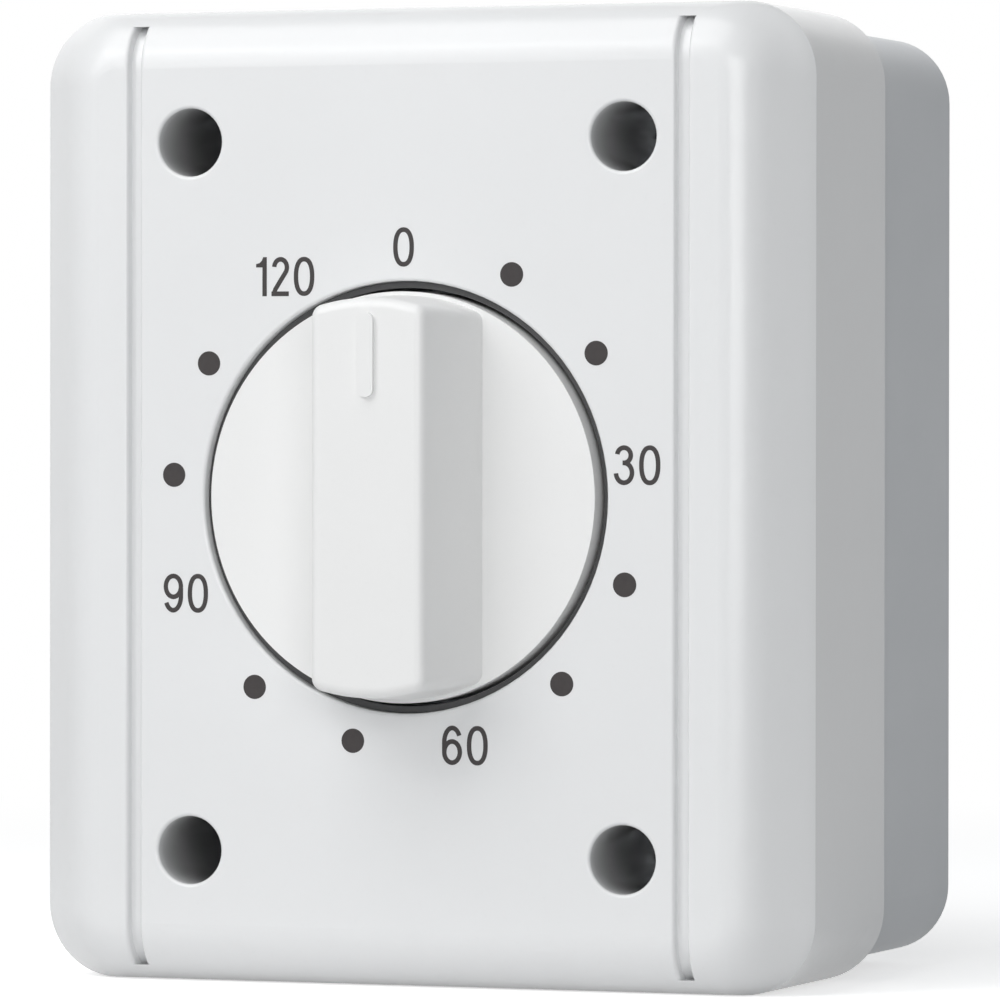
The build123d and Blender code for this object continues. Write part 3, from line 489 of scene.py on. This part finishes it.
def plated_finish(name, colour):
    """Bright zinc plating with its faint mottling."""
    finish = Finish(name)
    place = finish.place()
    cell = finish.add("ShaderNodeTexVoronoi", {"feature": "F1"},
                      {"Vector": place, "Scale": 1500.0}, output="Distance")
    cloud = finish.noise(place, scale=300.0, detail=3.0)
    tint = finish.colour(cloud, shade(colour, 0.88), shade(colour, 1.08))
    bump = finish.relief(cell, 3.0 * MICRON)
    return finish.surface(Base_Color=tint, Metallic=1.0, Normal=bump,
                          Roughness=cell * 0.1 + cloud * 0.12 + 0.2)


def spring_finish(metals):
    """Tempered spring strip: a blue tint in slow bands along the coils."""
    finish = Finish("spring_temper")
    x, y, z = finish.axes()
    turn = finish.add("ShaderNodeMath", {"operation": "ARCTAN2"}, {0: z, 1: x})
    radius = (x * x + z * z) ** 0.5
    band = finish.noise(finish.add("ShaderNodeCombineXYZ", None,
                                   {0: radius * 300.0, 1: turn * 0.8, 2: y * 60.0}),
                        scale=1.0, detail=2.0)
    tint = finish.colour(band.ramp(0.35, 0.7), shade(metals.steel, 0.75), metals.temper)
    grain = finish.noise(finish.place(scale=(1.0, 0.05, 1.0)), scale=6000.0, detail=2.0)
    bump = finish.relief(grain, 1.5 * MICRON)
    return finish.surface(Base_Color=tint, Metallic=1.0, Normal=bump,
                          Roughness=grain * 0.1 + 0.24)


def ink_finish(colour):
    """Printed ink: thin, a little uneven in its cover."""
    finish = Finish("dial_ink")
    place = finish.place()
    cover = finish.noise(place, scale=1800.0, detail=3.0)
    tint = finish.colour(cover, shade(colour, 0.85), shade(colour, 1.25))
    bump = finish.relief(cover, 2.0 * MICRON)
    return finish.surface(Base_Color=tint, Roughness=cover * 0.15 + 0.34, Normal=bump, IOR=1.42)


def paint_node(names, material):
    """Gives CAD pieces a finish in place of their plain one."""
    for name in names:
        slots = frame["nodes"][name].data.materials
        for index in range(len(slots)):
            slots[index] = material


def finished_mesh(piece, name):
    """A piece's evaluated shape as a plain mesh object."""
    graph = bpy.context.evaluated_depsgraph_get()
    mesh = bpy.data.meshes.new_from_object(piece.evaluated_get(graph))
    source = piece.data
    bpy.data.objects.remove(piece)
    if source.users == 0:
        bpy.data.batch_remove([source])
    mesh.name = name
    result = bpy.data.objects.new(name, mesh)
    bpy.context.scene.collection.objects.link(result)
    return result


# Digits in millimetres, by the middle line of a stroke whose foot stands at 0, and the 1 by its edge

STROKE = 0.38
DIGIT_HEIGHT = 2.77
SAME_POINT = 0.00005


def arc(centre, radii, start, end, fullness=1.0, count=32):
    """Points on an oval from one angle to another, in degrees anticlockwise from the right.
    A fullness under 1 fills out its shoulders."""
    points = []
    for step in range(count + 1):
        turn = math.radians(start + (end - start) * step / count)
        across, up = math.cos(turn), math.sin(turn)
        points.append((centre[0] + radii[0] * math.copysign(abs(across) ** fullness, across),
                       centre[1] + radii[1] * math.copysign(abs(up) ** fullness, up)))
    return points


def stroke(path):
    """The faces of a stroke of even width along a path, which may be a closed one."""
    path = [Vector(point) for point in path]
    closed = (path[0] - path[-1]).length < SAME_POINT
    edges = []
    for index, point in enumerate(path):
        before = path[index - 1] if index else path[-2 if closed else 0]
        after = path[index + 1] if index + 1 < len(path) else path[1 if closed else -1]
        along = (after - before).normalized()
        side = Vector((-along.y, along.x)) * STROKE / 2
        edges.append((point + side, point - side))
    return [(a[0], a[1], b[1], b[0]) for a, b in zip(edges, edges[1:])]


def half_turned(faces, width):
    """A digit turned half round."""
    return [[Vector((width - corner[0], DIGIT_HEIGHT - corner[1])) for corner in face]
            for face in faces]


SIX = stroke(arc((0.665, 0.845), (0.665, 0.845), 0, 360)) + stroke(
    arc((0.68, 1.62), (0.68, 1.15), 28, 180) + [(0.0, 1.3), (0.0, 0.95)])
DIGITS = {
    "0": stroke(arc((0.70, DIGIT_HEIGHT / 2), (0.70, DIGIT_HEIGHT / 2), 0, 360, 0.88, 48)),
    "1": [[(-0.19, -0.19), (0.19, -0.19), (0.19, 2.96), (-0.13, 2.96), (-0.19, 2.80)],
          [(-0.74, 2.13), (0.0, 2.13), (0.0, 2.96), (-0.13, 2.96), (-0.24, 2.68), (-0.42, 2.49),
           (-0.74, 2.40)]],
    "2": stroke(arc((0.62, 2.12), (0.55, 0.65), 176, -32) + [(0.40, 0.72), (0.17, 0.36), (0.07, 0.10)])
    + stroke([(-0.17, 0.0), (1.34, 0.0)]),
    "3": stroke(arc((0.67, 2.17), (0.57, 0.60), 172, -90) + [(0.55, 1.57)])
    + stroke([(0.55, 1.57)] + arc((0.67, 0.785), (0.67, 0.785), 90, -177)),
    "6": SIX,
    "9": half_turned(SIX, 1.345),
}


def ring_place(radius, angle):
    """A place on the dial, clockwise from the top as it is read."""
    return Vector((radius * math.sin(angle), FACE_Y, radius * math.cos(angle)))


def ink_layer(places, triangles, thickness):
    """Corners, edges and faces of a flat print as a thin layer, half of it sunk in the dial."""
    count = len(places)
    corners = [(across, depth, up) for depth in (-thickness, thickness) for across, up in places]
    edges = {(start, end) for triangle in triangles
             for start, end in zip(triangle, triangle[1:] + triangle[:1])}
    rim = sorted(edge for edge in edges if edge[::-1] not in edges)
    back = [[corner + count for corner in reversed(triangle)] for triangle in triangles]
    sides = [(end, start, start + count, end + count) for start, end in rim]
    return corners, [], triangles + back + sides


# Operators

class TIMER_OT_stage(bpy.types.Operator):
    """Camera, floor, background and lamps"""
    bl_idname = "timer.stage"
    bl_label = "Stage"

    def execute(self, context):
        settings = context.scene.timer_stage
        scene = context.scene
        scene.view_settings.view_transform = "Standard"
        self.camera(scene, settings)
        self.floor(scene)
        self.background(scene, settings)
        self.lamps(scene, settings)
        return {"FINISHED"}

    def camera(self, scene, settings):
        """A camera that stands where the photograph was taken from."""
        aside = Matrix.Rotation(settings.yaw, 4, "Z")
        down = Matrix.Rotation(math.radians(90) - settings.pitch, 4, "X")
        rolled = Matrix.Rotation(settings.roll, 4, "Z")
        data = bpy.data.cameras.new("camera")
        data.lens = settings.lens
        data.clip_start = 0.01
        camera = bpy.data.objects.new("camera", data)
        camera.matrix_world = Matrix.Translation(CAMERA_PLACE) @ aside @ down @ rolled
        scene.collection.objects.link(camera)
        scene.camera = camera

    def floor(self, scene):
        """A pale round floor under the cover's lower edge, which fades into the background."""
        shape = bmesh.new()
        bmesh.ops.create_circle(shape, cap_ends=True, segments=96, radius=FLOOR_RADIUS)
        mesh = bpy.data.meshes.new("floor")
        shape.to_mesh(mesh)
        shape.free()
        mesh.transform(Matrix.Translation((0.0, 0.0, cad_box[0][2])))
        floor = bpy.data.objects.new("floor", mesh)
        scene.collection.objects.link(floor)
        finish = Finish("floor_white")
        x, y = finish.axes()[:2]
        away = (x * x + y * y) ** 0.5
        grain = finish.noise(finish.place(), scale=400.0)
        tint = finish.colour(grain, (0.80, 0.80, 0.80), (0.84, 0.84, 0.84))
        matt = finish.add("ShaderNodeBsdfDiffuse", None, {"Color": tint})
        lift = finish.add("ShaderNodeEmission", None, {"Strength": FLOOR_LIFT})
        white = finish.add("ShaderNodeEmission", None, {"Strength": 1.0})
        near = finish.add("ShaderNodeAddShader", None, {0: matt, 1: lift})
        far = finish.add("ShaderNodeMixShader", None,
                         {0: away.ramp(*FLOOR_FADE), 1: near, 2: white})
        mesh.materials.append(finish.ended(finish.add(
            "ShaderNodeMixShader", None, {0: finish.shown(), 1: matt, 2: far})))

    def background(self, scene, settings):
        """Plain white behind the object, and an even light from all round."""
        world = bpy.data.worlds.new("studio")
        world.use_nodes = True
        scene.world = world
        tree = Tree(world.node_tree)
        white = tree.add("ShaderNodeBackground", None, {
            "Color": opaque((1.0, 1.0, 1.0)), "Strength": 1.0})
        even = tree.add("ShaderNodeBackground", None, {
            "Color": opaque(FILL_COLOUR), "Strength": settings.fill})
        either = tree.add("ShaderNodeMixShader", None, {0: tree.shown(), 1: even, 2: white})
        tree.add("ShaderNodeOutputWorld", None, {"Surface": either})

    def lamps(self, scene, settings):
        """Soft square lamps, all aimed at the dial."""
        for name, (size, place) in LAMPS.items():
            self.lamp(scene, name + "_lamp", getattr(settings, name + "_power"), size, place)

    def lamp(self, scene, name, power, size, place):
        """One square area lamp, aimed at the object."""
        data = bpy.data.lights.new(name, "AREA")
        data.shape = "SQUARE"
        data.size = size
        data.energy = power
        lamp = bpy.data.objects.new(name, data)
        lamp.location = place
        lamp.rotation_euler = (-Vector(place)).to_track_quat("-Z", "Y").to_euler()
        scene.collection.objects.link(lamp)


class TIMER_OT_housing(bpy.types.Operator):
    """Finishes of the cover and the rear box"""
    bl_idname = "timer.housing"
    bl_label = "Housing"

    def execute(self, context):
        colours = context.scene.timer_shell
        paint_node(["front_cover"], cover_finish_with_well_shade(colours))
        paint_node(["rear_box"], moulded_finish("box_satin", colours.box, 0.36, 1.4))
        return {"FINISHED"}


class TIMER_OT_knob(bpy.types.Operator):
    """Finish of the knob"""
    bl_idname = "timer.knob"
    bl_label = "Knob"

    def execute(self, context):
        paint_node(["knob"], knob_finish(context.scene.timer_shell))
        return {"FINISHED"}


class TIMER_OT_rubbers(bpy.types.Operator):
    """Finishes of the grommets, the gasket and the knob's seal"""
    bl_idname = "timer.rubbers"
    bl_label = "Rubber pieces"

    def execute(self, context):
        colours = context.scene.timer_shell
        paint_node(["top_grommet", "bottom_grommet"],
                   rubber_finish("grommet_rubber_skin", colours.rubber, 0.55))
        paint_node(["cover_gasket"], rubber_finish("gasket_rubber_skin", colours.seal, 0.7))
        paint_node(["knob_seal"], rubber_finish("seal_rubber_skin", colours.seal, 0.5))
        return {"FINISHED"}


class TIMER_OT_numbers(bpy.types.Operator):
    """Minutes printed round the knob"""
    bl_idname = "timer.numbers"
    bl_label = "Dial numbers"

    def execute(self, context):
        dial = context.scene.timer_dial
        ink = ink_finish(dial.ink)
        for step in range(0, dial.steps + 1, MARKS_PER_NUMBER):
            minutes = str(step // MARKS_PER_NUMBER * dial.minutes)
            number = self.number(context, dial, minutes, step * dial.step_angle)
            number.data.materials.append(ink)
            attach(number, "housing")
        return {"FINISHED"}

    def number(self, context, dial, digits, angle):
        """One upright number, printed in strokes of even width."""
        corners, faces, edge = [], [], 0.0
        for digit in digits:
            left = min(corner[0] for face in DIGITS[digit] for corner in face)
            for face in DIGITS[digit]:
                faces.append(list(range(len(corners), len(corners) + len(face))))
                corners.extend(Vector((corner[0] - left + edge, corner[1])) for corner in face)
            edge = max(corner[0] for corner in corners) + dial.number_gap / MM
        middle = Vector(((edge - dial.number_gap / MM) / 2, DIGIT_HEIGHT / 2))
        grow = dial.number_height / (DIGIT_HEIGHT + STROKE)
        inside_only = 1
        places, _, triangles, _, _, sources = delaunay_2d_cdt(
            [corner - middle for corner in corners], [], faces, inside_only, SAME_POINT)
        printed = [triangle for triangle, source in zip(triangles, sources) if source]
        mesh = bpy.data.meshes.new("number_" + digits)
        mesh.from_pydata(*ink_layer([(place[0] * grow, place[1] * grow) for place in places],
                                    printed, dial.ink_thickness))
        shift = dial.number_shift if int(digits) > dial.minutes else 0.0
        mesh.transform(Matrix.Translation(ring_place(dial.ring_radius + shift, angle)))
        number = bpy.data.objects.new("number_" + digits, mesh)
        context.scene.collection.objects.link(number)
        return number


class TIMER_OT_dots(bpy.types.Operator):
    """Printed dots at the marks that carry no number"""
    bl_idname = "timer.dots"
    bl_label = "Dial dots"

    def execute(self, context):
        dial = context.scene.timer_dial
        rule = Rule("Dial dots", {
            "Marks": "NodeSocketInt", "Step angle": "NodeSocketFloat",
            "Ring radius": "NodeSocketFloat", "Dot radius": "NodeSocketFloat",
            "Ink thickness": "NodeSocketFloat", "Face": "NodeSocketFloat",
            "Ink": "NodeSocketMaterial"})
        index = rule.add("GeometryNodeInputIndex")
        angle = index * rule.given["Step angle"]
        place = rule.add("ShaderNodeCombineXYZ", None, {
            0: angle.combine("SINE") * rule.given["Ring radius"], 1: rule.given["Face"],
            2: angle.combine("COSINE") * rule.given["Ring radius"]})
        points = rule.add("GeometryNodePoints", None,
                          {"Count": rule.given["Marks"], "Position": place})
        numbered = rule.add("FunctionNodeCompare", {"operation": "LESS_THAN"},
                            {0: index % float(MARKS_PER_NUMBER), 1: 0.5})
        marks = rule.add("GeometryNodeDeleteGeometry", {"domain": "POINT"},
                         {"Geometry": points, "Selection": numbered})
        dot = rule.add("GeometryNodeMeshCylinder", {"fill_type": "NGON"}, {
            "Vertices": 40, "Side Segments": 1, "Radius": rule.given["Dot radius"],
            "Depth": rule.given["Ink thickness"] * 2.0})
        upright = rule.add("ShaderNodeCombineXYZ", None, {0: math.radians(90)})
        dots = rule.add("GeometryNodeInstanceOnPoints", None,
                        {"Points": marks, "Instance": dot, "Rotation": upright})
        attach(rule.made("dial_dots", dots, "Ink", {
            "Marks": dial.steps + 1, "Step angle": dial.step_angle,
            "Ring radius": dial.ring_radius, "Dot radius": dial.dot_radius,
            "Ink thickness": dial.ink_thickness, "Face": FACE_Y,
            "Ink": bpy.data.materials["dial_ink"]}), "housing")
        return {"FINISHED"}


class TIMER_OT_fasteners(bpy.types.Operator):
    """Finishes of the screws, clips and rivets"""
    bl_idname = "timer.fasteners"
    bl_label = "Fasteners"

    def execute(self, context):
        metals = context.scene.timer_metal
        paint_node(["cover_screws", "plate_screws", "pillar_screws", "terminal_screws"],
                   plated_finish("screw_plating", metals.plating))
        paint_node(["knob_clip", "spindle_clip", "clutch_ring", "clutch_washer"],
                   sheet_metal_finish("clip_steel", metals.steel, 0.34, (0.1, 1.0, 1.0)))
        paint_node(["base_rivets"],
                   turned_metal_finish("rivet_steel", metals.steel, 0.4, "base_rivets", 0.3))
        return {"FINISHED"}


class TIMER_OT_clockwork(bpy.types.Operator):
    """Finishes of the plates, the train and the escapement"""
    bl_idname = "timer.clockwork"
    bl_label = "Clockwork"

    def execute(self, context):
        metals = context.scene.timer_metal
        paint_node(["support_plate"], sheet_metal_finish("support_steel", metals.plating, 0.36))
        paint_node(["rear_plate", "front_plate"],
                   sheet_metal_finish("plate_grain", metals.brass, 0.32, (1.0, 1.0, 0.05)))
        paint_node(["mainspring"], spring_finish(metals))
        for name in ("great_wheel", "second_wheel", "third_wheel", "escape_wheel"):
            paint_node([name], turned_metal_finish(name + "_brass", metals.brass, 0.28, name, 0.25))
        for name in ("main_spindle", "second_arbor", "third_arbor", "escape_arbor",
                     "pallet_arbor", "spring_post"):
            paint_node([name], turned_metal_finish(name + "_steel", metals.steel, 0.24, name, 0.15))
        paint_node(["pillars"], turned_metal_finish("pillar_brass", metals.brass, 0.3, "pillars", 0.3))
        paint_node(["pallet_lever"],
                   sheet_metal_finish("lever_steel_grain", metals.steel, 0.3, (0.05, 1.0, 1.0)))
        return {"FINISHED"}


class TIMER_OT_switchgear(bpy.types.Operator):
    """Finishes of the cam, the contacts, the terminals and the switch base"""
    bl_idname = "timer.switchgear"
    bl_label = "Switchgear"

    def execute(self, context):
        plastics = context.scene.timer_shell
        metals = context.scene.timer_metal
        paint_node(["cam_disc"], moulded_finish("cam_acetal", plastics.cam, 0.42))
        paint_node(["switch_base"], moulded_finish("base_thermoset", plastics.base, 0.45, 2.0))
        paint_node(["moving_contact", "fixed_contact"],
                   sheet_metal_finish("contact_strip", metals.bronze, 0.3, (1.0, 1.0, 0.05)))
        paint_node(["terminal_blocks", "neutral_link"],
                   sheet_metal_finish("terminal_strip", metals.brass, 0.34, (1.0, 0.2, 1.0)))
        return {"FINISHED"}


class TIMER_PT_sidebar(bpy.types.Panel):
    """The timer switch's pieces and stage"""
    bl_idname = "TIMER_PT_sidebar"
    bl_label = "Timer switch"
    bl_space_type = "VIEW_3D"
    bl_region_type = "UI"
    bl_category = "Timer switch"

    def draw(self, context):
        layout = self.layout
        for group_name, group in GROUPS.items():
            for name in group.__annotations__:
                layout.prop(getattr(context.scene, group_name), name)
        for operator in OPERATORS:
            layout.operator(operator.bl_idname)


GROUPS = {
    "timer_dial": DialSizes,
    "timer_shell": ShellColours,
    "timer_metal": MetalColours,
    "timer_stage": StageSettings,
}
OPERATORS = (
    TIMER_OT_stage,
    TIMER_OT_housing,
    TIMER_OT_knob,
    TIMER_OT_rubbers,
    TIMER_OT_numbers,
    TIMER_OT_dots,
    TIMER_OT_fasteners,
    TIMER_OT_clockwork,
    TIMER_OT_switchgear,
)


def register():
    for name, group in GROUPS.items():
        bpy.utils.register_class(group)
        setattr(bpy.types.Scene, name, bpy.props.PointerProperty(type=group))
    for operator in OPERATORS:
        bpy.utils.register_class(operator)
    bpy.utils.register_class(TIMER_PT_sidebar)


def unregister():
    bpy.utils.unregister_class(TIMER_PT_sidebar)
    for operator in reversed(OPERATORS):
        bpy.utils.unregister_class(operator)
    for name, group in GROUPS.items():
        delattr(bpy.types.Scene, name)
        bpy.utils.unregister_class(group)


def main():
    register()
    for operator in OPERATORS:
        getattr(bpy.ops.timer, operator.bl_idname.split(".")[1])()


if __name__ == "__main__":
    main()
